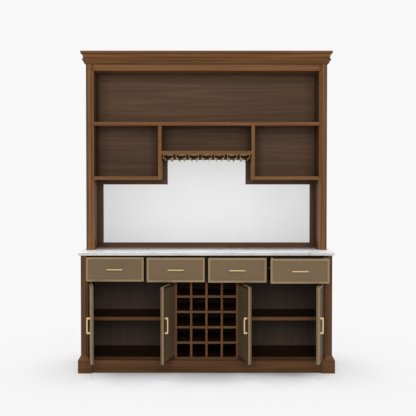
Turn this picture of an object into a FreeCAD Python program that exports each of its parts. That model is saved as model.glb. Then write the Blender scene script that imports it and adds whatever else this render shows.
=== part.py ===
import FreeCAD, Part
import math
import os

# Bar cabinet in millimetres: +Z up, front towards -Y, origin on the floor under the middle of the base.

# Base carcase
base_width = 1750.0            # over the two sides
base_depth = 500.0             # from the front of the sides to the wall
side_thickness = 36.5
stile_width = 15.3             # strip between a side and the outer door
stile_setback = 8.0            # stiles behind the front of the sides
plinth_height = 86.0
plinth_rail_thickness = 18.0
bearer_thickness = 18.0
rear_bearer_inset = 10.0       # rear bearer to the back panel
bottom_thickness = 22.0
partition_thickness = 16.0
deck_thickness = 16.0          # board between the drawers and the doors
divider_thickness = 18.0
rail_thickness = 12.0          # stretchers under the worktop
rail_depth = 60.0
back_thickness = 9.0
back_rebate = 9.0              # how far a back panel is let into the sides
worktop_thickness = 22.0
worktop_overhang = 13.0
worktop_edge = 2.0             # eased edge of the stone
arris = 1.5                    # eased front edges of the boards
side_chamfer = 10.0            # outer front corners of the sides, above the plinth blocks

# Plinth blocks round the front corners and along the sides
block_projection = 18.0
block_reach = 41.0             # inner arm, from the inside of the side towards the middle
block_step = 4.0               # foot of the chamfer above the plinth rail
block_chamfer = 30.0           # height of the chamfer
block_land = 1.5               # flat left on top of the chamfer
block_clearance = 0.5          # back of the inner arm to the pivot plates

# Bottle lattice
cells_across = 4
cells_up = 5
cell_width = 91.0
cell_height = 91.6
slat_thickness = 16.0
slat_setback = 2.0             # lattice behind the front of the partitions
slat_gap = 35.0                # lattice to the back panel
lap_clearance = 0.2

# Cupboard shelves and their pins
cupboard_shelf_thickness = 25.0
cupboard_shelf_rise = 249.0    # floor of the cupboard to the underside of the shelf
cupboard_shelf_setback = 46.0  # behind the front of the carcase panels
shelf_clearance = 1.0
shelf_pin_radius = 2.5
shelf_pin_depth = 9.0
shelf_pin_reach = 9.0
shelf_pin_inset = 45.0
pin_hole_clearance = 0.05

# Fronts of the doors and drawers
front_thickness = 22.0
front_clearance = 2.0          # back of a closed front to the carcase panels
trim_face = 13.5               # trim seen on the face
trim_wrap = 9.0                # trim seen on the edge
trim_thickness = 2.0

# Drawers, with how far each stands open, from left to right
drawer_front_height = 168.0
drawer_reveal_below = 10.0     # underside of the deck to the foot of the fronts
drawer_reveal_above = 12.0     # top of the fronts to the worktop
drawer_side_gap = 2.9
drawer_pulled = [15.0, 55.0, 85.0, 150.0]
drawer_wall = 14.0
drawer_gap = 29.0              # closed box to the back panel
drawer_bottom_thickness = 8.0
drawer_bottom_rise = 8.0
drawer_bottom_bite = 6.0
drawer_clearance = 3.0         # box to the stretchers above
drawer_lift = 5.0              # box above the deck
runner_gap = 13.0              # box to the wall of its bay
runner_bite = 6.0              # runner inside the groove of the box
runner_height = 12.0
runner_setback = 16.0          # runner behind the front of the carcase panels
runner_end = 31.0              # runner to the back panel
runner_clearance = 0.3
groove_clearance = 1.0
groove_stop = 8.0              # groove starts this far behind the false front

# Doors, with the angle at which each stands open, from left to right
door_open_angles = [81.0, 77.3, 78.5, 77.0]
collar_thickness = 2.5         # carries the door above the floor of its cupboard
door_end_play = 0.5            # upper collar to its plate
door_meeting_gap = 3.0
swing_clearance = 0.65         # corner of a turning door to the stile
pivot_radius = 3.0
pivot_clearance = 0.05
pivot_shank = 25.0             # pin inside the door
pivot_spigot = 6.0             # pin beyond its collar
collar_radius = 6.0
plate_thickness = 4.0
plate_half_width = 9.0
plate_nose = 5.5               # radius of the plate round the pin
plate_tail = 30.0              # plate let into the carcase panel

# Pulls
pull_length = 112.0
pull_projection = 27.0
pull_height = 10.0
pull_bar = 8.5
pull_foot = 13.0
pull_bow = 1.5
pull_round = 4.0
pull_edge = 1.5
door_pull_inset = 25.0         # centre line of a pull to the free edge of its door

# Hutch
hutch_inset = 11.0             # each side of the hutch inside the side of the base
hutch_setback = 222.0          # front of the base to the front of the hutch
hutch_side_thickness = 37.0
hutch_chamfer = 12.5           # outer front corners of the hutch sides
lining_thickness = 20.0
lining_setback = 8.0
niche_height = 504.0           # worktop to the cubby shelves
shelf_thickness = 25.0
cubby_height = 365.0
top_bay_height = 365.0
centre_cubby_height = 182.0
centre_bay_width = 646.0       # between the two dividers
cubby_divider_thickness = 25.0
hutch_top_thickness = 22.0
frieze_height = 45.0
frieze_thickness = 20.0

# Crown moulding, from its top member down
crown_projection = 34.0
crown_fillet = 17.0            # square member at the top
crown_step = 3.0               # square member beyond the hollow below it
crown_hollow_height = 14.0
crown_neck = 18.5              # projection of the plain band
crown_neck_height = 17.0
crown_undercut = 3.5           # slant above the bead
crown_bead_height = 22.0
crown_bead_swell = 4.5
crown_quirk = 3.0              # slant under the bead
crown_band = 13.0              # projection of the lower band
crown_band_height = 10.0
crown_cove_height = 10.0
crown_cove_start = 2.0

# Mirror and its frame
mirror_border = 38.0           # bottom rail and outer stiles
mirror_bar = 33.0              # the other bars
mirror_frame_thickness = 18.0
glass_thickness = 4.0
glass_lip = 8.0
glass_clearance = 0.2

# Stemware channels, bent from sheet
stem_count = 7
stem_width = 71.0
stem_sheet = 3.0
stem_side = 30.0
stem_ledge = 18.0
stem_lip = 14.0
stem_lip_lean = 2.0
stem_setback = 12.0            # channels behind the front of their shelf
stem_gap = 1.0                 # channels to the mirror frame

# Planes and levels worked out from the sizes above
front_y = -base_depth / 2
wall_y = base_depth / 2
back_y = wall_y - back_thickness
stile_y = front_y + stile_setback
panel_y = front_y + front_thickness + front_clearance
side_x = base_width / 2
inner_x = side_x - side_thickness
stile_x = inner_x - stile_width
lattice_x = (cells_across * cell_width + (cells_across - 1) * slat_thickness) / 2
partition_x = lattice_x + partition_thickness
floor_z = plinth_height + bottom_thickness
deck_z = floor_z + cells_up * cell_height + (cells_up - 1) * slat_thickness
deck_top_z = deck_z + deck_thickness
drawer_front_z = deck_z + drawer_reveal_below
worktop_z = drawer_front_z + drawer_front_height + drawer_reveal_above
rail_z = worktop_z - rail_thickness
counter_z = worktop_z + worktop_thickness
bay_width = (2 * inner_x - 3 * divider_thickness) / 4
bay_pitch = bay_width + divider_thickness
box_z = deck_top_z + drawer_lift
box_top_z = rail_z - drawer_clearance
runner_z = (box_z + box_top_z - runner_height) / 2
pivot_offset = front_thickness / 2
hinge_gap = pivot_offset * (math.sqrt(2) - 1) + swing_clearance
door_outer_x = stile_x - hinge_gap
door_width = (door_outer_x - partition_x - door_meeting_gap) / 2
door_z = floor_z + collar_thickness
door_top_z = deck_z - collar_thickness - door_end_play
pivot_y = front_y + pivot_offset
plinth_y = pivot_y - plate_nose - block_clearance
block_straight = plinth_height + block_step
block_height = block_straight + block_chamfer
slat_y = panel_y + slat_setback
slat_end_y = back_y - slat_gap
lap_y = (slat_y + slat_end_y) / 2
pivot_outer_x = door_outer_x - pivot_offset
pivot_inner_x = partition_x + pivot_offset

hutch_x = side_x - hutch_inset
lining_outer_x = hutch_x - hutch_side_thickness
lining_x = lining_outer_x - lining_thickness
hutch_y = front_y + hutch_setback
lining_y = hutch_y + lining_setback
cubby_shelf_z = counter_z + niche_height
cubby_floor_z = cubby_shelf_z + shelf_thickness
long_shelf_z = cubby_floor_z + cubby_height
long_shelf_top_z = long_shelf_z + shelf_thickness
hutch_top_z = long_shelf_top_z + top_bay_height
crown_z = hutch_top_z + frieze_height
stem_shelf_top_z = long_shelf_z - centre_cubby_height
stem_shelf_z = stem_shelf_top_z - shelf_thickness
centre_x = centre_bay_width / 2
cubby_divider_x = centre_x + cubby_divider_thickness
crown_depth = lining_setback + frieze_thickness
band_z = crown_cove_height
quirk_z = band_z + crown_band_height
bead_z = quirk_z + crown_quirk
neck_z = bead_z + crown_bead_height
hollow_z = neck_z + crown_neck_height
fillet_z = hollow_z + crown_hollow_height
crown_height = fillet_z + crown_fillet
mirror_y = back_y - mirror_frame_thickness


def vec(x, y, z):
    return FreeCAD.Vector(x, y, z)


def box(x0, x1, y0, y1, z0, z1):
    return Part.makeBox(x1 - x0, y1 - y0, z1 - z0, vec(x0, y0, z0))


def mirrored(shape):
    return shape.mirror(vec(0, 0, 0), vec(1, 0, 0))


def pair(shape):
    """The shape and its image on the other side of the middle."""
    return [shape, mirrored(shape)]


def prism(points, along):
    """A closed outline of straight edges, extruded."""
    return Part.Face(Part.makePolygon(points + points[:1])).extrude(along)


def rod(radius, length, x, y, z):
    """An upright cylinder from its foot."""
    return Part.makeCylinder(radius, length, vec(x, y, z))


def edge_line(a, b):
    return Part.LineSegment(a, b).toShape()


def edge_arc(a, middle, b):
    return Part.Arc(a, middle, b).toShape()


def eased(board, upright):
    """The board with the long edges of its front face eased."""
    front = board.BoundBox.YMin
    edges = []
    for edge in board.Edges:
        size = edge.BoundBox
        length = size.ZLength if upright else size.XLength
        if size.YMax < front + arris and length > arris:
            edges.append(edge)
    return board.makeChamfer(arris, edges)


def corner_wedge(x, y, size, z0, z1):
    """What a chamfer takes off the outer front corner of a left-hand side."""
    return prism([vec(x, y, z0), vec(x + size, y, z0), vec(x, y + size, z0)], vec(0, 0, z1 - z0))


def write(node, shapes):
    solids = [solid for shape in shapes for solid in shape.Solids]
    Part.makeCompound(solids).exportStep("parts/" + node + ".step")


# Base carcase

def base_sides(pins):
    side = box(-side_x, -inner_x, front_y, wall_y, 0, worktop_z)
    rebate = box(-inner_x - back_rebate, -inner_x, back_y, wall_y, plinth_height, worktop_z)
    side = eased(side.cut(rebate), True)
    side = side.cut(corner_wedge(-side_x, front_y, side_chamfer, block_height, worktop_z))
    for hole in pins:
        side = side.cut(hole)
    return pair(side)


def door_stiles():
    return pair(eased(box(-inner_x, -stile_x, stile_y, panel_y, plinth_height, deck_z), True))


def plinth_blocks():
    low = [vec(-side_x - block_projection, front_y - block_projection, block_straight),
           vec(-inner_x + block_reach, front_y - block_projection, block_straight),
           vec(-inner_x + block_reach, wall_y, block_straight),
           vec(-side_x - block_projection, wall_y, block_straight)]
    high = [vec(-side_x - block_land, front_y - block_land, block_height),
            vec(-inner_x, front_y - block_land, block_height),
            vec(-inner_x, wall_y, block_height),
            vec(-side_x - block_land, wall_y, block_height)]
    foot = prism([point - vec(0, 0, block_straight) for point in low], vec(0, 0, block_straight))
    wires = [Part.makePolygon(ring + ring[:1]) for ring in (low, high)]
    block = foot.fuse(Part.makeLoft(wires, True, True)).removeSplitter()
    block = block.cut(box(-side_x, -inner_x, front_y, wall_y, 0, block_height))
    block = block.cut(box(-inner_x, 0, plinth_y, wall_y, 0, block_height))
    return pair(block)


def plinth_rails():
    rail_back = plinth_y + plinth_rail_thickness
    rear_y = back_y - rear_bearer_inset - plinth_rail_thickness
    rails = [box(-inner_x, inner_x, plinth_y, rail_back, 0, plinth_height),
             box(-inner_x, inner_x, rear_y, rear_y + plinth_rail_thickness, 0, plinth_height)]
    half = bearer_thickness / 2
    for x in (-bay_pitch, 0, bay_pitch):
        rails.append(box(x - half, x + half, rail_back, rear_y, 0, plinth_height))
    return rails


def base_bottom(plates):
    panel = box(-inner_x, inner_x, panel_y, back_y, plinth_height, floor_z)
    for plate in plates:
        panel = panel.cut(plate)
    return [panel]


def base_back():
    reach = inner_x + back_rebate
    return [box(-reach, reach, back_y, wall_y, plinth_height, worktop_z)]


def bay_partitions(pins):
    partition = eased(box(-partition_x, -lattice_x, panel_y, back_y, floor_z, deck_z), True)
    for hole in pins:
        partition = partition.cut(hole)
    return pair(partition)


def drawer_deck(plates):
    deck = box(-inner_x, inner_x, panel_y, back_y, deck_z, deck_top_z)
    for plate in plates:
        deck = deck.cut(plate)
    return [deck]


def drawer_dividers():
    half = divider_thickness / 2
    places = (-bay_pitch, 0, bay_pitch)
    return [box(x - half, x + half, panel_y, back_y, deck_top_z, rail_z) for x in places]


def worktop_rails():
    return [box(-inner_x, inner_x, panel_y, panel_y + rail_depth, rail_z, worktop_z),
            box(-inner_x, inner_x, back_y - rail_depth, back_y, rail_z, worktop_z)]


def worktop():
    reach = side_x + worktop_overhang
    slab = box(-reach, reach, front_y - worktop_overhang, wall_y, worktop_z, counter_z)
    eased = [edge for edge in slab.Edges
             if edge.BoundBox.YMin < wall_y - worktop_edge and edge.BoundBox.ZLength < worktop_edge]
    return [slab.makeFillet(worktop_edge, eased)]


# Cupboard shelves

def shelf_pin_places():
    """Y and Z of the pins under one end of a cupboard shelf."""
    first = panel_y + cupboard_shelf_setback + shelf_pin_inset
    z = floor_z + cupboard_shelf_rise - shelf_pin_radius
    return [(first, z), (back_y - shelf_pin_inset, z)]


def shelf_pin(x, y, z, towards, radius, depth, reach):
    """A pin lying along X, from depth behind the wall at x to reach in front of it."""
    return Part.makeCylinder(radius, depth + reach, vec(x - towards * depth, y, z), vec(towards, 0, 0))


def shelf_pins():
    pins = []
    radius, depth, reach = shelf_pin_radius, shelf_pin_depth, shelf_pin_reach
    for wall, towards in ((-inner_x, 1), (-partition_x, -1)):
        pins += [shelf_pin(wall, y, z, towards, radius, depth, reach) for y, z in shelf_pin_places()]
    return pins


def shelf_pin_holes(wall, towards):
    radius = shelf_pin_radius + pin_hole_clearance
    return [shelf_pin(wall, y, z, towards, radius, shelf_pin_depth, 0) for y, z in shelf_pin_places()]


def cupboard_shelves():
    x0, x1 = -inner_x + shelf_clearance, -partition_x - shelf_clearance
    z = floor_z + cupboard_shelf_rise
    shelf = box(x0, x1, panel_y + cupboard_shelf_setback, back_y, z, z + cupboard_shelf_thickness)
    return pair(eased(shelf, False))


# Bottle lattice, half lapped where the slats cross

def lattice_columns():
    pitch = cell_width + slat_thickness
    first = -lattice_x + cell_width
    return [first + pitch * i for i in range(cells_across - 1)]


def lattice_rows():
    pitch = cell_height + slat_thickness
    first = floor_z + cell_height
    return [first + pitch * i for i in range(cells_up - 1)]


def wine_uprights():
    uprights = []
    for x in lattice_columns():
        upright = box(x, x + slat_thickness, slat_y, slat_end_y, floor_z, deck_z)
        for z in lattice_rows():
            slot = box(x, x + slat_thickness, lap_y, slat_end_y,
                       z - lap_clearance, z + slat_thickness + lap_clearance)
            upright = upright.cut(slot)
        uprights.append(eased(upright, True))
    return uprights


def wine_shelves():
    shelves = []
    for z in lattice_rows():
        shelf = box(-lattice_x, lattice_x, slat_y, slat_end_y, z, z + slat_thickness)
        for x in lattice_columns():
            slot = box(x - lap_clearance, x + slat_thickness + lap_clearance,
                       slat_y, lap_y, z, z + slat_thickness)
            shelf = shelf.cut(slot)
        shelves.append(eased(shelf, False))
    return shelves


# Fronts, shared by the doors and the drawers

def front_panel(x0, x1, z0, z1):
    """Core of a front, rebated round its edges for the trim."""
    t = trim_thickness
    wrap_y = front_y + t + trim_wrap
    core = box(x0, x1, wrap_y, front_y + front_thickness, z0, z1)
    raised = box(x0 + t, x1 - t, front_y + t, wrap_y, z0 + t, z1 - t)
    return core.fuse(raised)


def front_trim(x0, x1, z0, z1):
    """Metal angle round the face and the edge of a front."""
    t = trim_thickness
    wrap_y = front_y + t + trim_wrap
    blank = box(x0, x1, front_y, wrap_y, z0, z1)
    field = box(x0 + trim_face, x1 - trim_face, front_y, wrap_y, z0 + trim_face, z1 - trim_face)
    behind = box(x0 + t, x1 - t, front_y + t, wrap_y, z0 + t, z1 - t)
    return blank.cut(field).cut(behind)


def pull():
    """Bowed bar on two feet, lying along X, with its feet at Y = 0 and its middle at the origin."""
    half = pull_length / 2
    top = -pull_height / 2
    bar_y = -pull_projection
    grip_y = bar_y + pull_bar
    turn = pull_round * (1 - math.sqrt(0.5))
    inside = half - pull_foot
    outer_left = vec(-half, bar_y + pull_round, top)
    outer_right = vec(half, bar_y + pull_round, top)
    bar_left = vec(-half + pull_round, bar_y, top)
    bar_right = vec(half - pull_round, bar_y, top)
    edges = [
        edge_line(vec(-half, 0, top), outer_left),
        edge_arc(outer_left, vec(-half + turn, bar_y + turn, top), bar_left),
        edge_arc(bar_left, vec(0, bar_y - pull_bow, top), bar_right),
        edge_arc(bar_right, vec(half - turn, bar_y + turn, top), outer_right),
        edge_line(outer_right, vec(half, 0, top)),
        edge_line(vec(half, 0, top), vec(inside, 0, top)),
        edge_line(vec(inside, 0, top), vec(inside, grip_y, top)),
        edge_arc(vec(inside, grip_y, top), vec(0, grip_y - pull_bow, top), vec(-inside, grip_y, top)),
        edge_line(vec(-inside, grip_y, top), vec(-inside, 0, top)),
        edge_line(vec(-inside, 0, top), vec(-half, 0, top)),
    ]
    bar = Part.Face(Part.Wire(edges)).extrude(vec(0, 0, pull_height))
    bounds = [(edge, edge.BoundBox) for edge in bar.Edges]
    bowed = [edge for edge, size in bounds if size.ZLength < pull_edge and size.YMax < grip_y]
    return bar.makeFillet(pull_edge, bowed)


# Drawers

def drawer_box(middle):
    half = bay_width / 2 - runner_gap
    y0 = front_y + front_thickness
    y1 = back_y - drawer_gap
    inside = half - drawer_wall
    base_z = box_z + drawer_bottom_rise
    bottom = box(middle - inside - drawer_bottom_bite, middle + inside + drawer_bottom_bite,
                 y0 + drawer_wall - drawer_bottom_bite, y1 - drawer_wall + drawer_bottom_bite,
                 base_z, base_z + drawer_bottom_thickness)
    groove_z = runner_z - runner_clearance
    groove_top = runner_z + runner_height + runner_clearance
    groove_depth = runner_bite + groove_clearance
    walls = [box(middle - inside, middle + inside, y0, y0 + drawer_wall, box_z, box_top_z),
             box(middle - inside, middle + inside, y1 - drawer_wall, y1, box_z, box_top_z)]
    for towards in (-1, 1):
        near, far = sorted((middle + towards * inside, middle + towards * half))
        deep, open_side = sorted((middle + towards * (half - groove_depth), middle + towards * half))
        wall = box(near, far, y0, y1, box_z, box_top_z)
        walls.append(wall.cut(box(deep, open_side, y0 + groove_stop, y1, groove_z, groove_top)))
    return [wall.cut(bottom) for wall in walls] + [bottom]


def drawer_runners():
    """Bars on both walls of each bay, which run in the grooves of the boxes."""
    reach = runner_gap + runner_bite
    y0, y1 = panel_y + runner_setback, back_y - runner_end
    bars = []
    for i in range(4):
        middle = (i - 1.5) * bay_pitch
        for towards in (-1, 1):
            wall = middle + towards * bay_width / 2
            x0, x1 = sorted((wall, wall - towards * reach))
            bars.append(box(x0, x1, y0, y1, runner_z, runner_z + runner_height))
    return bars


def drawer(number):
    middle = (number - 2.5) * bay_pitch
    half = bay_width / 2 - drawer_side_gap
    limits = (middle - half, middle + half, drawer_front_z, drawer_front_z + drawer_front_height)
    handle = pull()
    handle.translate(vec(middle, front_y + trim_thickness, drawer_front_z + drawer_front_height / 2))
    pieces = {"box": drawer_box(middle), "front": [front_panel(*limits)], "trim": [front_trim(*limits)],
              "pull": [handle]}
    for name, shapes in pieces.items():
        for shape in shapes:
            shape.translate(vec(0, -drawer_pulled[number - 1], 0))
        write("drawer_%d_%s" % (number, name), shapes)


# Doors on pivot pins

def pivot_plates(foot_z):
    """Four plates with their feet at one level, each let into a carcase panel behind its pivot."""
    back = panel_y + plate_tail
    half = plate_half_width
    plates = []
    for x in (-pivot_outer_x, -pivot_inner_x, pivot_inner_x, pivot_outer_x):
        nose = rod(plate_nose, plate_thickness, x, pivot_y, foot_z)
        tail = box(x - half, x + half, pivot_y, back, foot_z, foot_z + plate_thickness)
        hole = rod(pivot_radius + pivot_clearance, plate_thickness, x, pivot_y, foot_z)
        plates.append(nose.fuse(tail).removeSplitter().cut(hole))
    return plates


def pivot_pin(x, edge_z, up):
    """Turned pin with a collar, in one end of a door: up is 1 at the top and -1 at the foot."""
    steps = [(0, -pivot_shank), (pivot_radius, -pivot_shank), (pivot_radius, 0), (collar_radius, 0),
             (collar_radius, collar_thickness), (pivot_radius, collar_thickness),
             (pivot_radius, collar_thickness + pivot_spigot), (0, collar_thickness + pivot_spigot)]
    points = [vec(x + r, pivot_y, edge_z + up * h) for r, h in steps]
    outline = Part.Face(Part.makePolygon(points + points[:1]))
    return outline.revolve(vec(x, pivot_y, 0), vec(0, 0, 1), 360)


def door(number):
    left_pair = number < 3
    hinged_left = number % 2 == 1
    start = -door_outer_x if left_pair else partition_x
    x0 = start if hinged_left else start + door_width + door_meeting_gap
    x1 = x0 + door_width
    axis_x = x0 + pivot_offset if hinged_left else x1 - pivot_offset
    free_x = x1 - door_pull_inset if hinged_left else x0 + door_pull_inset
    limits = (x0, x1, door_z, door_top_z)
    panel, trim = front_panel(*limits), front_trim(*limits)
    for z in (door_z, door_top_z - pivot_shank):
        hole = rod(pivot_radius + pivot_clearance, pivot_shank, axis_x, pivot_y, z)
        panel, trim = panel.cut(hole), trim.cut(hole)
    handle = pull()
    handle.rotate(vec(0, 0, 0), vec(0, 1, 0), 90)
    handle.translate(vec(free_x, front_y + trim_thickness, (door_z + door_top_z) / 2))
    pins = [pivot_pin(axis_x, door_z, -1), pivot_pin(axis_x, door_top_z, 1)]
    turn = -door_open_angles[number - 1] if hinged_left else door_open_angles[number - 1]
    pieces = {"panel": [panel], "trim": [trim], "pull": [handle], "pivot_pins": pins}
    for name, shapes in pieces.items():
        for shape in shapes:
            shape.rotate(vec(axis_x, pivot_y, 0), vec(0, 0, 1), turn)
        write("door_%d_%s" % (number, name), shapes)


# Hutch

def hutch_sides():
    side = eased(box(-hutch_x, -lining_outer_x, hutch_y, wall_y, counter_z, crown_z), True)
    return pair(side.cut(corner_wedge(-hutch_x, hutch_y, hutch_chamfer, counter_z, crown_z)))


def hutch_linings():
    lining = box(-lining_outer_x, -lining_x, lining_y, wall_y, counter_z, hutch_top_z)
    rebate = box(-lining_x - back_rebate, -lining_x, back_y, wall_y, counter_z, hutch_top_z)
    return pair(eased(lining.cut(rebate), True))


def hutch_back():
    reach = lining_x + back_rebate
    return [box(-reach, reach, back_y, wall_y, counter_z, hutch_top_z)]


def hutch_top():
    return [box(-lining_outer_x, lining_outer_x, lining_y + frieze_thickness, wall_y,
                hutch_top_z, hutch_top_z + hutch_top_thickness)]


def frieze_rail():
    reach = lining_outer_x
    return [eased(box(-reach, reach, lining_y, lining_y + frieze_thickness, hutch_top_z, crown_z), False)]


def hutch_shelves():
    """Long shelf, stemware shelf and the two cubby shelves."""
    shelves = [box(-lining_x, lining_x, lining_y, back_y, long_shelf_z, long_shelf_top_z),
               box(-centre_x, centre_x, lining_y, back_y, stem_shelf_z, stem_shelf_top_z),
               *pair(box(-lining_x, -cubby_divider_x, lining_y, back_y, cubby_shelf_z, cubby_floor_z))]
    return [eased(shelf, False) for shelf in shelves]


def cubby_dividers():
    divider = box(-cubby_divider_x, -centre_x, lining_y, back_y, cubby_shelf_z, long_shelf_z)
    return pair(eased(divider, True))


def crown_profile(place):
    """Moulding outline. place turns a projection and a height into a point in space."""
    hollow_p = crown_projection - crown_step
    far = math.sqrt(0.5)
    near = 1 - far
    cove_mid = place(crown_cove_start + near * (crown_band - crown_cove_start), far * band_z)
    hollow_mid = place(crown_neck + near * (hollow_p - crown_neck), hollow_z + far * crown_hollow_height)
    bead_mid = place(crown_neck + crown_bead_swell, bead_z + crown_bead_height / 2)
    corners = [place(-crown_depth, 0), place(crown_cove_start, 0), place(crown_band, band_z),
               place(crown_band, quirk_z), place(crown_neck, bead_z),
               place(crown_neck - crown_undercut, neck_z), place(crown_neck, neck_z + crown_undercut),
               place(crown_neck, hollow_z), place(hollow_p, fillet_z), place(crown_projection, fillet_z),
               place(crown_projection, crown_height), place(-crown_depth, crown_height)]
    rounded = {1: cove_mid, 4: bead_mid, 7: hollow_mid}
    edges = []
    for i, corner in enumerate(corners):
        following = corners[(i + 1) % len(corners)]
        if i in rounded:
            edges.append(edge_arc(corner, rounded[i], following))
        else:
            edges.append(edge_line(corner, following))
    return Part.Face(Part.Wire(edges))


def crown_moulding():
    """Front length and two returns, mitred at the corners."""
    reach = hutch_x + crown_projection
    start_y = hutch_y - crown_projection
    inside = crown_depth + crown_projection
    front_face = crown_profile(lambda p, z: vec(-reach, hutch_y - p, crown_z + z))
    side_face = crown_profile(lambda p, z: vec(-hutch_x - p, start_y, crown_z + z))
    front = front_face.extrude(vec(2 * reach, 0, 0))
    side = side_face.extrude(vec(0, wall_y - start_y, 0))
    tip, heel = vec(-reach, start_y, crown_z), vec(-reach + inside, start_y + inside, crown_z)
    beside = prism([tip, heel, vec(-reach, start_y + inside, crown_z)], vec(0, 0, crown_height))
    before = prism([tip, vec(-reach + inside, start_y, crown_z), heel], vec(0, 0, crown_height))
    front = front.cut(beside).cut(mirrored(beside))
    return [front] + pair(side.cut(before))


def tee_plate(inset_border, inset_bar, y0, y1):
    """T-shaped plate in the niche, drawn in from the edges of the niche."""
    wide, narrow = lining_x - inset_border, centre_x - inset_bar
    foot, shoulder, top = counter_z + inset_border, cubby_shelf_z - inset_bar, stem_shelf_z - inset_bar
    right = [(wide, foot), (wide, shoulder), (narrow, shoulder), (narrow, top)]
    outline = right + [(-x, z) for x, z in reversed(right)]
    return prism([vec(x, y0, z) for x, z in outline], vec(0, y1 - y0, 0))


def mirror_glass():
    lip = glass_lip - glass_clearance
    glass_y = back_y - glass_thickness
    return [tee_plate(mirror_border - lip, mirror_bar - lip, glass_y, back_y)]


def mirror_frame():
    """Eight bars, butted at the corners and rebated behind for the glass."""
    stile_x0, neck_x0 = lining_x - mirror_border, centre_x - mirror_bar
    rail_top = counter_z + mirror_border
    bars = [box(-lining_x, lining_x, mirror_y, back_y, counter_z, rail_top),
            box(-neck_x0, neck_x0, mirror_y, back_y, stem_shelf_z - mirror_bar, stem_shelf_z),
            *pair(box(-lining_x, -stile_x0, mirror_y, back_y, rail_top, cubby_shelf_z)),
            *pair(box(-stile_x0, -neck_x0, mirror_y, back_y, cubby_shelf_z - mirror_bar, cubby_shelf_z)),
            *pair(box(-centre_x, -neck_x0, mirror_y, back_y, cubby_shelf_z, stem_shelf_z))]
    glass_y = back_y - glass_thickness
    rebate = tee_plate(mirror_border - glass_lip, mirror_bar - glass_lip, glass_y, back_y)
    return [bar.cut(rebate) for bar in bars]


def stemware_channels():
    """Folded channels: top, sides, ledges under the feet of the glasses and leaning lips."""
    half, t = stem_width / 2, stem_sheet
    slot = half - stem_ledge
    tip = slot - stem_lip_lean
    ledge_z = -stem_side
    lip_z = ledge_z - stem_lip
    right = [(half, 0), (half, ledge_z), (slot + t, ledge_z), (tip + t, lip_z), (tip, lip_z),
             (slot, ledge_z + t), (half - t, ledge_z + t), (half - t, -t)]
    outline = right + [(-x, z) for x, z in reversed(right)]
    y0 = lining_y + stem_setback
    pitch = centre_bay_width / stem_count
    channels = []
    for i in range(stem_count):
        x = (i - (stem_count - 1) / 2) * pitch
        points = [vec(x + dx, y0, stem_shelf_z + dz) for dx, dz in outline]
        channels.append(prism(points, vec(0, mirror_y - stem_gap - y0, 0)))
    return channels


os.makedirs("parts", exist_ok=True)

low_plates = pivot_plates(floor_z - plate_thickness)
high_plates = pivot_plates(deck_z)
left_pins = shelf_pins()

write("base_sides", base_sides(shelf_pin_holes(-inner_x, 1)))
write("door_stiles", door_stiles())
write("plinth_blocks", plinth_blocks())
write("plinth_rails", plinth_rails())
write("base_bottom_panel", base_bottom(low_plates))
write("base_back_panel", base_back())
write("bay_partitions", bay_partitions(shelf_pin_holes(-partition_x, -1)))
write("drawer_deck", drawer_deck(high_plates))
write("drawer_dividers", drawer_dividers())
write("worktop_rails", worktop_rails())
write("worktop", worktop())
write("cupboard_shelves", cupboard_shelves())
write("shelf_pins", left_pins + [mirrored(pin) for pin in left_pins])
write("wine_uprights", wine_uprights())
write("wine_shelves", wine_shelves())
write("drawer_runners", drawer_runners())
write("pivot_plates", low_plates + high_plates)
for number in range(1, 5):
    drawer(number)
    door(number)
write("hutch_sides", hutch_sides())
write("hutch_side_linings", hutch_linings())
write("hutch_back_panel", hutch_back())
write("hutch_top_panel", hutch_top())
write("frieze_rail", frieze_rail())
write("crown_moulding", crown_moulding())
write("hutch_shelves", hutch_shelves())
write("cubby_dividers", cubby_dividers())
write("mirror_frame", mirror_frame())
write("mirror_glass", mirror_glass())
write("stemware_channels", stemware_channels())
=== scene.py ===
import math

import bpy
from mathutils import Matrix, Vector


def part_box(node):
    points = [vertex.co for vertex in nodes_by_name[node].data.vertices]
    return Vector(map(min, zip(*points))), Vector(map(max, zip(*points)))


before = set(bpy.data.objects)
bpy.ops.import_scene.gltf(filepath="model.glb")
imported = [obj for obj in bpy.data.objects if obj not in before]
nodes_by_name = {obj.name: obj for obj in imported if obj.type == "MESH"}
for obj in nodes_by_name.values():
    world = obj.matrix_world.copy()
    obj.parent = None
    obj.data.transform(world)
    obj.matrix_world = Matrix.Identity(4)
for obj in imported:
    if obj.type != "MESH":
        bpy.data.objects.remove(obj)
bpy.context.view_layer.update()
scene = bpy.context.scene
scene.view_settings.view_transform = "Standard"

# Places on the frame that the finishes follow, in metres
BOARD = 0.025
FRONT_EDGE_DEPTH = 0.0018
SIDE_BAR = 0.038
STEM_BAR = 0.030
FRAME_LOW, FRAME_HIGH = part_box("mirror_frame")
LINING_LOW, LINING_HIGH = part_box("hutch_side_linings")
CUBBY_LOW, CUBBY_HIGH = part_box("cubby_dividers")
DIVIDER_X = CUBBY_HIGH.x - BOARD / 2
CUBBY_Z = (CUBBY_LOW.z + CUBBY_HIGH.z) / 2
CUBBY_HALF_HEIGHT = (CUBBY_HIGH.z - CUBBY_LOW.z) / 2
SHELF_END_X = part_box("hutch_shelves")[1].x
FRIEZE_END_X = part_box("frieze_rail")[1].x
CROWN_FOOT_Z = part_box("crown_moulding")[0].z
LATTICE_END_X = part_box("wine_shelves")[1].x
BOTTOM_FRONT_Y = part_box("base_bottom_panel")[0].y
STAND_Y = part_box("base_sides")[1].y

WHITE = (1, 1, 1, 1)


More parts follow.
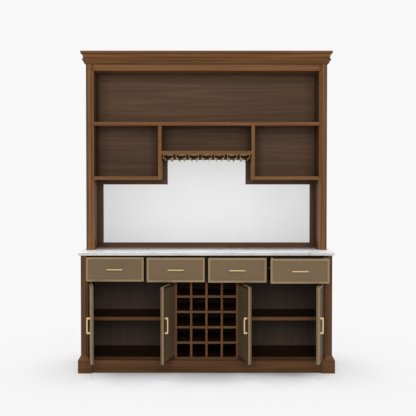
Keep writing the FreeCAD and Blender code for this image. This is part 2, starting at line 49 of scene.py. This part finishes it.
class Graph:
    """Short hand for building one node tree."""

    def __init__(self, tree):
        self.tree = tree
        self.tree.nodes.clear()

    def node(self, kind, **settings):
        made = self.tree.nodes.new(kind)
        for key, value in settings.items():
            setattr(made, key, value)
        return made

    def link(self, output, socket):
        self.tree.links.new(output, socket)

    def put(self, socket, value):
        if isinstance(value, bpy.types.NodeSocket):
            self.link(value, socket)
        else:
            socket.default_value = value

    def math(self, operation, *values):
        made = self.node("ShaderNodeMath", operation=operation)
        for socket, value in zip(made.inputs, values):
            self.put(socket, value)
        return made.outputs[0]

    def mix_value(self, factor, a, b):
        made = self.node("ShaderNodeMix", data_type="FLOAT")
        for socket, value in zip((made.inputs[0], made.inputs[2], made.inputs[3]), (factor, a, b)):
            self.put(socket, value)
        return made.outputs[0]

    def mix_colour(self, factor, a, b, blend="MIX"):
        made = self.node("ShaderNodeMix", data_type="RGBA", blend_type=blend)
        for socket, value in zip((made.inputs[0], made.inputs[6], made.inputs[7]), (factor, a, b)):
            self.put(socket, value)
        return made.outputs[2]

    def scaled(self, vector, scale, shift=(0, 0, 0)):
        made = self.node("ShaderNodeMapping")
        self.link(vector, made.inputs["Vector"])
        made.inputs["Scale"].default_value = scale
        made.inputs["Location"].default_value = shift
        return made.outputs[0]

    def noise(self, vector, scale=1.0, detail=3.0, roughness=0.5, distortion=0.0):
        made = self.node("ShaderNodeTexNoise")
        self.link(vector, made.inputs["Vector"])
        made.inputs["Scale"].default_value = scale
        made.inputs["Detail"].default_value = detail
        made.inputs["Roughness"].default_value = roughness
        made.inputs["Distortion"].default_value = distortion
        return made.outputs[0]

    def ramp(self, value, *stops):
        made = self.node("ShaderNodeValToRGB")
        self.link(value, made.inputs[0])
        elements = made.color_ramp.elements
        while len(elements) < len(stops):
            elements.new(0.5)
        for element, (position, colour) in zip(elements, stops):
            element.position = position
            element.color = opaque(colour)
        return made.outputs[0]

    def remap(self, value, low, high, to_low=0.0, to_high=1.0):
        made = self.node("ShaderNodeMapRange")
        for socket, number in zip(made.inputs, (value, low, high, to_low, to_high)):
            self.put(socket, number)
        return made.outputs[0]

    def xyz(self, vector):
        made = self.node("ShaderNodeSeparateXYZ")
        self.link(vector, made.inputs[0])
        return made.outputs

    def vector(self, x, y, z):
        made = self.node("ShaderNodeCombineXYZ")
        for socket, value in zip(made.inputs, (x, y, z)):
            self.put(socket, value)
        return made.outputs[0]

    def true_normal(self):
        """The three parts of the direction that the surface itself faces."""
        return self.xyz(self.node("ShaderNodeNewGeometry").outputs["True Normal"])

    def distance(self, a, b):
        """How far apart two values are."""
        return self.math("ABSOLUTE", self.math("SUBTRACT", a, b))


def srgb(r, g, b):
    """Linear colour from 0-255 screen values."""
    return tuple((c / 255 / 12.92) if c <= 10 else ((c / 255 + 0.055) / 1.055) ** 2.4 for c in (r, g, b))


def shaded(tint, amount):
    """The tint times an amount, up to full strength."""
    return tuple(min(1, c * amount) for c in tint)


def opaque(tint):
    return (*tint, 1)


def start(name):
    """A new material with its graph, its shader and the object coordinates."""
    material = bpy.data.materials.new(name)
    material.use_nodes = True
    graph = Graph(material.node_tree)
    shader = graph.node("ShaderNodeBsdfPrincipled")
    output = graph.node("ShaderNodeOutputMaterial")
    graph.link(shader.outputs[0], output.inputs[0])
    place = graph.node("ShaderNodeTexCoord").outputs["Object"]
    return material, graph, shader, place


def finish_surface(graph, shader, height, depth, strength, arris=0.0012):
    """Relief from a height value, over slightly rounded edges."""
    edge = graph.node("ShaderNodeBevel", samples=4)
    edge.inputs["Radius"].default_value = arris
    bump = graph.node("ShaderNodeBump")
    bump.inputs["Strength"].default_value = strength
    bump.inputs["Distance"].default_value = depth
    graph.link(height, bump.inputs["Height"])
    graph.link(edge.outputs[0], bump.inputs["Normal"])
    graph.link(bump.outputs[0], shader.inputs["Normal"])


def on_frame_uprights(graph, x, z):
    """1 on the upright bars of the mirror frame, and 0 on its level bars."""
    reach = graph.math("ABSOLUTE", x)
    at_side = graph.math("GREATER_THAN", reach, FRAME_HIGH.x - SIDE_BAR)
    over_foot = graph.math("GREATER_THAN", z, FRAME_LOW.z + SIDE_BAR)
    at_stem = graph.math("GREATER_THAN", reach, CUBBY_HIGH.x - BOARD - STEM_BAR)
    over_arms = graph.math("GREATER_THAN", z, CUBBY_LOW.z)
    outer = graph.math("MULTIPLY", at_side, over_foot)
    inner = graph.math("MULTIPLY", at_stem, over_arms)
    return graph.math("MAXIMUM", outer, inner)


def grain_space(graph, place, along):
    """Coordinates whose first axis runs along the grain."""
    x, y, z = graph.xyz(place)
    if along == "y":
        return graph.vector(y, x, z)
    if along == "z":
        return graph.vector(z, x, y)
    if along == "return":
        turned = graph.math("GREATER_THAN", graph.math("ABSOLUTE", graph.true_normal()[0]), 0.7)
        return graph.vector(graph.mix_value(turned, x, y), graph.mix_value(turned, y, x), z)
    if along == "frame":
        upright = on_frame_uprights(graph, x, z)
        return graph.vector(graph.mix_value(upright, x, z), y, graph.mix_value(upright, z, x))
    return place


def streaks(graph, space, offset, along, across, detail, roughness=0.5, wander=0.0):
    """Noise drawn out along the grain, with so many cycles a metre along and across it."""
    return graph.noise(graph.scaled(space, (along, across, across), offset), 1.0, detail, roughness, wander)


# Painted shade and light: each gives the share of the colour left at a place on a board, below 1 for painted
# shade and above 1 for painted light
CUBBY_BLEND_BELOW = 0.006
LINING_BLEND_BELOW = 0.046
BLEND_ABOVE = 0.014
UPRIGHT_SHADE_WIDTH = 0.09
LINING_SHADE_START = 0.020
LINING_SHADE_END = 0.010
FRIEZE_SHADE_START = 0.008
FRIEZE_SHADE_END = 0.032
FOOT_SHADE_START = 0.015
FOOT_SHADE_END = 0.055
LATTICE_LIGHT_SPILL = 0.006
CROWN_SHADE_RISE = 0.1
# Height up the crown, as a share of its rise, and the share of colour left there: painted shade below 1,
# painted highlight above 1
CROWN_SHADE_AND_HIGHLIGHT = (
    (0.0, 0.74), (0.09, 0.7), (0.14, 1.0), (0.225, 1.03), (0.25, 0.6), (0.285, 0.62), (0.315, 1.04),
    (0.53, 1.0), (0.58, 1.12), (0.64, 1.12), (0.68, 0.95), (0.74, 0.88), (0.8, 0.97), (1.0, 1.0),
)
# Painted shade inside the cabinet, behind the boards' front edges
INNER_SHADE = (1.0, 0.91, 0.79)
# Painted shade on the slanting front corners of the sides
CHAMFER_SHADE = (0.66, 0.62, 0.58)


def painted_shade_at_uprights(graph, place):
    """Painted shade: darker where a back meets the uprights in front of it."""
    x, _, z = graph.xyz(place)
    reach = graph.math("ABSOLUTE", x)
    outer = graph.math("SUBTRACT", SHELF_END_X, reach)
    inner = graph.math("SUBTRACT", graph.distance(reach, DIVIDER_X), BOARD / 2)
    beside_divider = graph.math("COMPARE", z, CUBBY_Z, CUBBY_HALF_HEIGHT)
    inner = graph.mix_value(beside_divider, 1.0, inner)
    nearest = graph.math("MINIMUM", outer, inner)
    least = graph.remap(z, CUBBY_LOW.z - CUBBY_BLEND_BELOW, CUBBY_LOW.z + BLEND_ABOVE, 0.42, 0.66)
    tone = graph.remap(nearest, 0.0, UPRIGHT_SHADE_WIDTH, least, 1.0)
    tone = graph.math("MULTIPLY", tone, graph.remap(z, CUBBY_HIGH.z, CUBBY_HIGH.z + BOARD, 0.9, 1.0))
    facing_front = graph.math("LESS_THAN", graph.true_normal()[1], -0.5)
    return graph.mix_value(facing_front, 1.0, tone)


def painted_shade_to_back(graph, place):
    """Painted shade and light: lighter at the front of an upright and darker towards its back, and lighter
    beside the serving niche than above it.
    """
    _, y, z = graph.xyz(place)
    by_depth = graph.remap(y, LINING_LOW.y + LINING_SHADE_START, LINING_HIGH.y - LINING_SHADE_END, 1.2, 0.45)
    by_height = graph.remap(z, CUBBY_LOW.z - LINING_BLEND_BELOW, CUBBY_LOW.z + BLEND_ABOVE, 1.4, 1.0)
    return graph.math("MULTIPLY", by_depth, by_height)


def painted_shade_at_ends(graph, place):
    """Painted shade: darker at the ends of a rail between two posts, where it meets them."""
    end = graph.math("SUBTRACT", FRIEZE_END_X, graph.math("ABSOLUTE", graph.xyz(place)[0]))
    return graph.remap(end, FRIEZE_SHADE_START, FRIEZE_SHADE_END, 0.62, 1.0)


def painted_shade_to_floor(graph, place):
    """Painted shade: darker towards the foot of the plinth."""
    return graph.remap(graph.xyz(place)[2], FOOT_SHADE_START, FOOT_SHADE_END, 0.86, 1.05)


def painted_light_under_lattice(graph, place):
    """Painted light: lighter on the front edge of the bottom panel, under the lattice."""
    x, y, _ = graph.xyz(place)
    middle = graph.math("LESS_THAN", graph.math("ABSOLUTE", x), LATTICE_END_X + LATTICE_LIGHT_SPILL)
    edge = graph.math("LESS_THAN", y, BOTTOM_FRONT_Y + FRONT_EDGE_DEPTH)
    return graph.mix_value(graph.math("MULTIPLY", middle, edge), 1.0, 1.6)


def painted_shade_in_hollows(graph, place):
    """Painted shade in the hollows of the crown, and painted highlights on its bands."""
    rise = graph.remap(graph.xyz(place)[2], CROWN_FOOT_Z, CROWN_FOOT_Z + CROWN_SHADE_RISE)
    return graph.ramp(rise, *((height, (share, share, share)) for height, share in CROWN_SHADE_AND_HIGHLIGHT))


def painted_shade_on_chamfer(graph, place):
    """Painted shade: darker on the slanting front corner of a side."""
    slant = graph.math("COMPARE", graph.math("ABSOLUTE", graph.true_normal()[0]), 0.707, 0.2)
    return graph.mix_colour(slant, WHITE, opaque(CHAMFER_SHADE))


def painted_shade_inside(node, share):
    """Painted shade that darkens all of a board behind its front edge, inside the cabinet."""
    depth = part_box(node)[0].y + FRONT_EDGE_DEPTH

    def painted_shading(graph, place):
        behind = graph.math("GREATER_THAN", graph.xyz(place)[1], depth)
        return graph.mix_colour(behind, WHITE, opaque(shaded(INNER_SHADE, share)))

    return painted_shading


# Materials
WOOD_ROUGHNESS = 0.47
ROUGHNESS_SPREAD = 0.07
PAIR_SHIFT = 3.71
GROWTH_LINES = 48.0
TONE_SHARE = 0.45
LINE_SHARE = 0.17
FIBRE_SHARE = 0.46
PORE_SHARE = 0.5
SEAM_X = 0.655
SEAM_SLOPE = 0.55
SEAM_WANDER = 0.16
SEAM_CORE = 0.002
SEAM_EDGE = 0.014
# Painted shade on the stone's upright faces
SIDE_FACE_SHADE = (0.72, 0.72, 0.725)


def wood(name, tones, along, seed, paired=False, painted_shadings=()):
    """Stained open-pored wood: broad figure, growth lines and fine pores along the grain, times any painted
    shade and light.
    """
    material, graph, shader, place = start(name)
    dark, light = tones
    space = grain_space(graph, place, along)
    if paired:
        right = graph.math("GREATER_THAN", graph.xyz(place)[0], 0.0)
        shift = graph.math("MULTIPLY", right, PAIR_SHIFT)
        moved = graph.node("ShaderNodeVectorMath", operation="ADD")
        graph.link(space, moved.inputs[0])
        graph.link(graph.vector(shift, shift, shift), moved.inputs[1])
        space = moved.outputs[0]
    offset = (seed * 1.37, seed * 2.11, seed * 0.83)
    tone = streaks(graph, space, offset, along=0.6, across=3.4, detail=2.0)
    figure = streaks(graph, space, offset, along=0.38, across=9.5, detail=2.0, roughness=0.45, wander=0.1)
    fibre = streaks(graph, space, offset, along=1.7, across=105.0, detail=5.0, roughness=0.6, wander=0.15)
    pores = streaks(graph, space, offset, along=11.0, across=520.0, detail=2.0, wander=0.1)
    pores = graph.remap(pores, 0.60, 0.72)
    lines = graph.math("SINE", graph.math("MULTIPLY", figure, GROWTH_LINES))
    lines = graph.remap(lines, -1.0, 1.0)
    blend = graph.math("MULTIPLY", tone, TONE_SHARE)
    blend = graph.math("MULTIPLY_ADD", lines, LINE_SHARE, blend)
    blend = graph.math("MULTIPLY_ADD", fibre, FIBRE_SHARE, blend)
    level = graph.remap(blend, 0.30, 0.78)
    middle = tuple((a + b) / 2 for a, b in zip(dark, light))
    colour = graph.ramp(level, (0.0, dark), (0.55, middle), (1.0, light))
    in_pore = graph.math("MULTIPLY", pores, PORE_SHARE)
    colour = graph.mix_colour(in_pore, colour, opaque(shaded(dark, 0.45)))
    for painted_shading in painted_shadings:
        colour = graph.mix_colour(1.0, colour, painted_shading(graph, place), "MULTIPLY")
    graph.link(colour, shader.inputs["Base Color"])
    dull = WOOD_ROUGHNESS + ROUGHNESS_SPREAD
    sleek = WOOD_ROUGHNESS - ROUGHNESS_SPREAD
    graph.link(graph.remap(fibre, 0.2, 0.8, dull, sleek), shader.inputs["Roughness"])
    shader.inputs["Specular IOR Level"].default_value = 0.2
    relief = graph.math("SUBTRACT", graph.math("MULTIPLY", fibre, 0.6), pores)
    finish_surface(graph, shader, relief, depth=0.0004, strength=0.35)
    return material


def lacquer(name, tint, along, seed):
    """Satin taupe lacquer over a fine straight grain."""
    material, graph, shader, place = start(name)
    space = grain_space(graph, place, along)
    offset = (seed * 1.7, seed * 0.9, seed * 2.3)
    fine = streaks(graph, space, offset, along=9.0, across=340.0, detail=3.0, roughness=0.55, wander=0.2)
    cloud = streaks(graph, space, offset, along=2.0, across=5.0, detail=3.0, wander=0.3)
    level = graph.math("MULTIPLY_ADD", fine, 0.55, graph.math("MULTIPLY", cloud, 0.45))
    colour = graph.ramp(level, (0.25, shaded(tint, 0.86)), (0.5, tint), (0.78, shaded(tint, 1.13)))
    graph.link(colour, shader.inputs["Base Color"])
    graph.link(graph.remap(cloud, 0.3, 0.7, 0.42, 0.52), shader.inputs["Roughness"])
    shader.inputs["Specular IOR Level"].default_value = 0.1
    finish_surface(graph, shader, fine, depth=0.0003, strength=0.25)
    return material


def metal(name, tint, rough, along, seed):
    """Satin metal with a fine brushed line and slight unevenness of tone."""
    material, graph, shader, place = start(name)
    space = grain_space(graph, place, along)
    offset = (seed, seed * 0.7, seed * 1.3)
    brush = streaks(graph, space, offset, along=14.0, across=1500.0, detail=2.0)
    cloud = streaks(graph, space, offset, along=12.0, across=30.0, detail=3.0)
    level = graph.mix_value(0.5, cloud, brush)
    colour = graph.ramp(level, (0.25, shaded(tint, 0.85)), (0.5, tint), (0.75, shaded(tint, 1.12)))
    graph.link(colour, shader.inputs["Base Color"])
    graph.link(graph.remap(level, 0.3, 0.7, rough - 0.06, rough + 0.08), shader.inputs["Roughness"])
    shader.inputs["Metallic"].default_value = 1.0
    finish_surface(graph, shader, brush, depth=0.0001, strength=0.12, arris=0.0008)
    return material


def marble(name):
    """Polished white stone with soft clouds, thin grey veins and one long seam."""
    material, graph, shader, place = start(name)
    drift = graph.scaled(place, (1.3, 2.6, 2.6), (4.1, 1.3, 0.7))
    drift = graph.noise(drift, scale=1.6, detail=6.0, roughness=0.55, distortion=1.1)
    vein = graph.remap(graph.distance(drift, 0.5), 0.0, 0.045, 1.0, 0.0)
    hair = graph.scaled(place, (3.4, 6.1, 6.1), (0.6, 5.2, 2.4))
    hair = graph.noise(hair, scale=1.8, detail=7.0, roughness=0.6, distortion=1.5)
    hair = graph.remap(graph.distance(hair, 0.5), 0.0, 0.02, 1.0, 0.0)
    cloud = graph.scaled(place, (1.1, 1.9, 1.9), (2.0, 2.0, 0.0))
    cloud = graph.noise(cloud, scale=1.2, detail=4.0, roughness=0.5, distortion=0.6)
    x, y, _ = graph.xyz(place)
    seam = graph.math("MULTIPLY_ADD", drift, SEAM_WANDER, graph.math("SUBTRACT", x, SEAM_X))
    seam = graph.math("MULTIPLY_ADD", y, SEAM_SLOPE, seam)
    seam = graph.remap(graph.math("ABSOLUTE", seam), SEAM_CORE, SEAM_EDGE, 1.0, 0.0)
    colour = graph.ramp(cloud, (0.3, (0.87, 0.87, 0.87)), (0.62, (0.92, 0.92, 0.915)))
    colour = graph.mix_colour(graph.math("MULTIPLY", vein, 0.20), colour, (0.36, 0.37, 0.38, 1))
    colour = graph.mix_colour(graph.math("MULTIPLY", hair, 0.09), colour, (0.42, 0.42, 0.42, 1))
    colour = graph.mix_colour(graph.math("MULTIPLY", seam, 0.45), colour, (0.36, 0.36, 0.37, 1))
    # Painted shade: the stone's upright faces are darker than its top
    side_face = graph.math("LESS_THAN", graph.math("ABSOLUTE", graph.true_normal()[2]), 0.5)
    colour = graph.mix_colour(side_face, colour, opaque(SIDE_FACE_SHADE), "MULTIPLY")
    graph.link(colour, shader.inputs["Base Color"])
    graph.link(graph.remap(cloud, 0.3, 0.7, 0.25, 0.32), shader.inputs["Roughness"])
    shader.inputs["Specular IOR Level"].default_value = 0.4
    finish_surface(graph, shader, cloud, depth=0.0002, strength=0.05, arris=0.0015)
    return material


def silvered(name):
    """Mirror glass with a trace of haze."""
    material, graph, shader, place = start(name)
    haze = graph.scaled(place, (3.0, 3.0, 3.0))
    haze = graph.noise(haze, detail=4.0, distortion=0.4)
    colour = graph.ramp(haze, (0.3, (0.84, 0.84, 0.839)), (0.7, (0.88, 0.88, 0.879)))
    graph.link(colour, shader.inputs["Base Color"])
    graph.link(graph.remap(haze, 0.3, 0.7, 0.02, 0.05), shader.inputs["Roughness"])
    shader.inputs["Metallic"].default_value = 1.0
    return material


def dress(node, material):
    """Gives a CAD node its material."""
    slots = nodes_by_name[node].data.materials
    slots.clear()
    slots.append(material)


# Finishes of the carcase, each a darker and a lighter tone of the wood
HUTCH = (srgb(97, 64, 38), srgb(135, 96, 63))
CROWN = (srgb(89, 57, 31), srgb(124, 86, 53))
# Partly the linings' own darker tone, partly painted shade on their inner faces
LINING = (srgb(82, 53, 30), srgb(115, 80, 51))
FRAME = (srgb(80, 56, 40), srgb(113, 82, 60))
BASE = (srgb(75, 49, 30), srgb(110, 76, 48))
PLINTH = (srgb(71, 46, 28), srgb(104, 71, 45))
SLAT = (srgb(82, 55, 36), srgb(118, 84, 57))
BACK = (srgb(76, 57, 43), srgb(103, 79, 61))
# INNER and BOTTOM: darker woods inside the base, partly their own tone and partly painted shade
INNER = (srgb(62, 50, 43), srgb(74, 61, 52))
BOTTOM = (srgb(50, 31, 16), srgb(76, 48, 26))
# Painted shade: a near-black wood for the parts seen only in the dark gaps around the drawers
SHADE_IN_GAPS = (srgb(25, 16, 10), srgb(40, 27, 17))
BOX = (srgb(118, 97, 76), srgb(158, 132, 105))

# Node, tones, way of the grain, whether it is a pair with two figures, and painted shade and light
boards = [
    ("hutch_sides", HUTCH, "z", True, [painted_shade_on_chamfer]),
    ("hutch_side_linings", LINING, "z", True, [painted_shade_to_back]),
    ("hutch_top_panel", HUTCH, "x", False, []),
    ("frieze_rail", HUTCH, "x", False, [painted_shade_at_ends]),
    ("crown_moulding", CROWN, "return", False, [painted_shade_in_hollows]),
    ("hutch_shelves", HUTCH, "x", False, []),
    ("cubby_dividers", HUTCH, "z", True, []),
    ("hutch_back_panel", BACK, "x", False, [painted_shade_at_uprights]),
    ("mirror_frame", FRAME, "frame", False, [painted_shade_at_uprights]),
    ("base_sides", BASE, "z", True, [painted_shade_on_chamfer]),
    ("door_stiles", BASE, "z", True, []),
    ("plinth_blocks", BASE, "return", True, []),
    ("plinth_rails", PLINTH, "return", False, [painted_shade_to_floor]),
    ("bay_partitions", BASE, "z", True, [painted_shade_inside("bay_partitions", 0.36)]),
    ("cupboard_shelves", BASE, "x", True, [painted_shade_inside("cupboard_shelves", 0.20)]),
    ("wine_uprights", BASE, "z", False, [painted_shade_inside("wine_uprights", 0.34)]),
    ("wine_shelves", SLAT, "x", False, [painted_shade_inside("wine_shelves", 0.22)]),
    ("base_bottom_panel", BOTTOM, "x", False, [painted_shade_inside("base_bottom_panel", 0.45), painted_light_under_lattice]),
    ("base_back_panel", INNER, "z", False, []),
    ("drawer_deck", SHADE_IN_GAPS, "x", False, []),
    ("drawer_dividers", SHADE_IN_GAPS, "y", False, []),
    ("worktop_rails", SHADE_IN_GAPS, "x", False, []),
]
for index, (node, tones, along, paired, painted_shadings) in enumerate(boards):
    seed = 1.9 * index + 0.6
    dress(node, wood("wood_" + node, tones, along, seed, paired, painted_shadings))

# Finishes of the drawers and doors
TAUPE = srgb(116, 98, 76)
# Painted shade: the door panels take a darker copy of the drawers' taupe
DOOR_TAUPE_SHADED = shaded(TAUPE, 0.80)
CHAMPAGNE = srgb(173, 147, 112)
BRASS = srgb(231, 202, 154)
SHEET_BRASS = srgb(196, 166, 118)
STEEL = srgb(112, 110, 108)
champagne_flat = metal("champagne_flat", CHAMPAGNE, rough=0.40, along="x", seed=1.0)
# Painted shade: the door trims take a darker copy of the champagne metal
champagne_tall_shaded = metal("champagne_tall_shaded", shaded(CHAMPAGNE, 0.86), rough=0.40, along="z", seed=2.0)
brass_flat = metal("brass_flat", BRASS, rough=0.26, along="x", seed=3.0)
brass_tall = metal("brass_tall", BRASS, rough=0.26, along="z", seed=4.0)
brass_sheet = metal("brass_sheet", SHEET_BRASS, rough=0.36, along="y", seed=5.0)
steel = metal("steel", STEEL, rough=0.38, along="y", seed=6.0)
for number in range(1, 5):
    dress("drawer_%d_box" % number, wood("wood_drawer_%d" % number, BOX, "return", 40 + number))
    dress("drawer_%d_front" % number, lacquer("lacquer_drawer_%d" % number, TAUPE, "x", number))
    dress("drawer_%d_trim" % number, champagne_flat)
    dress("drawer_%d_pull" % number, brass_flat)
    dress("door_%d_panel" % number, lacquer("lacquer_door_%d" % number, DOOR_TAUPE_SHADED, "z", 10 + number))
    dress("door_%d_trim" % number, champagne_tall_shaded)
    dress("door_%d_pull" % number, brass_tall)
    dress("door_%d_pivot_pins" % number, steel)
for node in ("shelf_pins", "drawer_runners", "pivot_plates"):
    dress(node, steel)
dress("stemware_channels", brass_sheet)
dress("worktop", marble("marble"))
dress("mirror_glass", silvered("mirror"))

# Floor and room
BACKDROP = 0.94
FLOOR_SIZE = 24.0
STAND_X = 0.9
SIDE_FADE = 1.6
FADE_START = 0.3
FADE_END = 1.7
CONTACT_REACH = 0.5
CONTACT_EASE_START = 0.6
CONTACT_EASE_END = 0.95
ROOM_LIGHT = 0.15
ROOM_BRIGHT = 0.96
ROOM_DIM = 0.62
ROOM_BRIGHT_DROP = 0.0235
ROOM_FALL_ACROSS = 15.0
ROOM_FALL_UP = 72.0


def reflected(graph, path):
    """1 for a ray that polished metal or glass sends on."""
    return graph.math("MAXIMUM", path.outputs["Is Glossy Ray"], path.outputs["Is Transmission Ray"])


def paper_floor(name):
    """Pale paper that fades into the white background away from the cabinet, with a painted contact shadow
    near it.
    """
    material = bpy.data.materials.new(name)
    material.use_nodes = True
    graph = Graph(material.node_tree)
    place = graph.node("ShaderNodeTexCoord").outputs["Object"]
    path = graph.node("ShaderNodeLightPath")
    from_camera = path.outputs["Is Camera Ray"]
    x, y, _ = graph.xyz(place)
    reach = graph.math("ABSOLUTE", x)

    paper = graph.noise(place, scale=40.0, detail=2.0)
    paper = graph.ramp(paper, (0.3, (0.895, 0.895, 0.897)), (0.7, (0.905, 0.905, 0.906)))
    plain = graph.node("ShaderNodeBsdfDiffuse")
    graph.link(graph.mix_colour(from_camera, (0.32, 0.32, 0.32, 1), paper), plain.inputs["Color"])

    beside = graph.math("MAXIMUM", graph.math("SUBTRACT", reach, STAND_X), 0.0)
    beside = graph.math("MULTIPLY", beside, SIDE_FADE)
    ahead = graph.math("MAXIMUM", graph.math("SUBTRACT", graph.math("ABSOLUTE", y), STAND_Y), 0.0)
    away = graph.math("ADD", graph.math("POWER", beside, 2.0), graph.math("POWER", ahead, 2.0))
    far = graph.remap(graph.math("SQRT", away), FADE_START, FADE_END)

    # Painted shadow: ambient occlusion darkens the paper's glow near the cabinet, less so beside it
    nearby = graph.node("ShaderNodeAmbientOcclusion", samples=16)
    nearby.inputs["Distance"].default_value = CONTACT_REACH
    painted_contact_shadow = graph.math("SUBTRACT", 1.0, graph.math("POWER", nearby.outputs["AO"], 1.3))
    ease = graph.remap(reach, CONTACT_EASE_START, CONTACT_EASE_END, 1.0, 0.4)
    painted_contact_shadow = graph.math("MULTIPLY", painted_contact_shadow, ease)
    shade = graph.math("MULTIPLY", graph.math("SUBTRACT", 1.0, painted_contact_shadow), 0.86)
    white = graph.node("ShaderNodeEmission")
    white.inputs["Color"].default_value = WHITE
    graph.link(graph.mix_value(far, shade, BACKDROP), white.inputs["Strength"])

    glow = graph.math("MULTIPLY", graph.remap(far, 0.0, 1.0, 0.85, 1.0), from_camera)
    mixed = graph.node("ShaderNodeMixShader")
    graph.link(graph.math("MAXIMUM", glow, reflected(graph, path)), mixed.inputs[0])
    graph.link(plain.outputs[0], mixed.inputs[1])
    graph.link(white.outputs[0], mixed.inputs[2])
    graph.link(mixed.outputs[0], graph.node("ShaderNodeOutputMaterial").inputs[0])
    return material


def white_room(name):
    """Soft white room that metal and mirrors see as brightest near the horizon, ahead and behind."""
    world = bpy.data.worlds.new(name)
    world.use_nodes = True
    graph = Graph(world.node_tree)
    path = graph.node("ShaderNodeLightPath")
    x, _, z = graph.xyz(graph.node("ShaderNodeTexCoord").outputs["Generated"])
    across = graph.math("POWER", graph.math("ABSOLUTE", x), 2.0)
    across = graph.math("MULTIPLY", across, ROOM_FALL_ACROSS)
    rise = graph.math("ABSOLUTE", graph.math("ADD", z, ROOM_BRIGHT_DROP))
    rise = graph.math("MULTIPLY", graph.math("POWER", rise, 2.0), ROOM_FALL_UP)
    fall = graph.math("ADD", across, rise)
    bright = graph.math("MAXIMUM", graph.math("SUBTRACT", ROOM_BRIGHT, fall), ROOM_DIM)
    level = graph.mix_value(reflected(graph, path), ROOM_LIGHT, bright)
    level = graph.mix_value(path.outputs["Is Camera Ray"], level, BACKDROP)
    background = graph.node("ShaderNodeBackground")
    background.inputs["Color"].default_value = WHITE
    graph.link(level, background.inputs["Strength"])
    graph.link(background.outputs[0], graph.node("ShaderNodeOutputWorld").inputs[0])
    return world


bpy.ops.mesh.primitive_plane_add(size=FLOOR_SIZE, location=(0, 0, 0))
floor = bpy.context.object
floor.name = "floor"
floor.data.materials.append(paper_floor("floor"))
scene.world = white_room("room")


def lamp_at(name, kind, place, aim, energy):
    """A lamp that polished surfaces don't show."""
    lamp = bpy.data.lights.new(name, kind)
    lamp.energy = energy
    holder = bpy.data.objects.new(name, lamp)
    scene.collection.objects.link(holder)
    holder.location = place
    towards = Vector(aim) - Vector(place)
    holder.rotation_euler = towards.to_track_quat("-Z", "Y").to_euler()
    holder.visible_glossy = False
    return lamp


def panel_lamp(name, place, aim, energy, width, height):
    """A soft rectangular lamp."""
    lamp = lamp_at(name, "AREA", place, aim, energy)
    lamp.shape = "RECTANGLE"
    lamp.size = width
    lamp.size_y = height


# Lamps: a wide one ahead, a soft one overhead and two behind
panel_lamp("front", place=(0.0, -7.0, 2.5), aim=(0, 0, 1.0), energy=364.0, width=3.2, height=2.8)
top = lamp_at("top", "SUN", place=(0.0, -0.35, 6.0), aim=(0, 0, 0), energy=2.5)
top.angle = math.radians(12.0)
for name, x in (("rear_left", -5.5), ("rear_right", 5.5)):
    panel_lamp(name, place=(x, 5.5, 1.6), aim=(0, 0, 1.1), energy=300.0, width=3.0, height=2.0)

# Camera at the photograph's place
CAMERA_PLACE = (0.0105, -6.659, 1.312)
CAMERA_TILT = math.radians(88.55)
camera = bpy.data.objects.new("camera", bpy.data.cameras.new("camera"))
scene.collection.objects.link(camera)
camera.data.lens = 80.0
camera.data.sensor_width = 36.0
camera.location = CAMERA_PLACE
camera.rotation_euler = (CAMERA_TILT, 0, 0)
scene.camera = camera
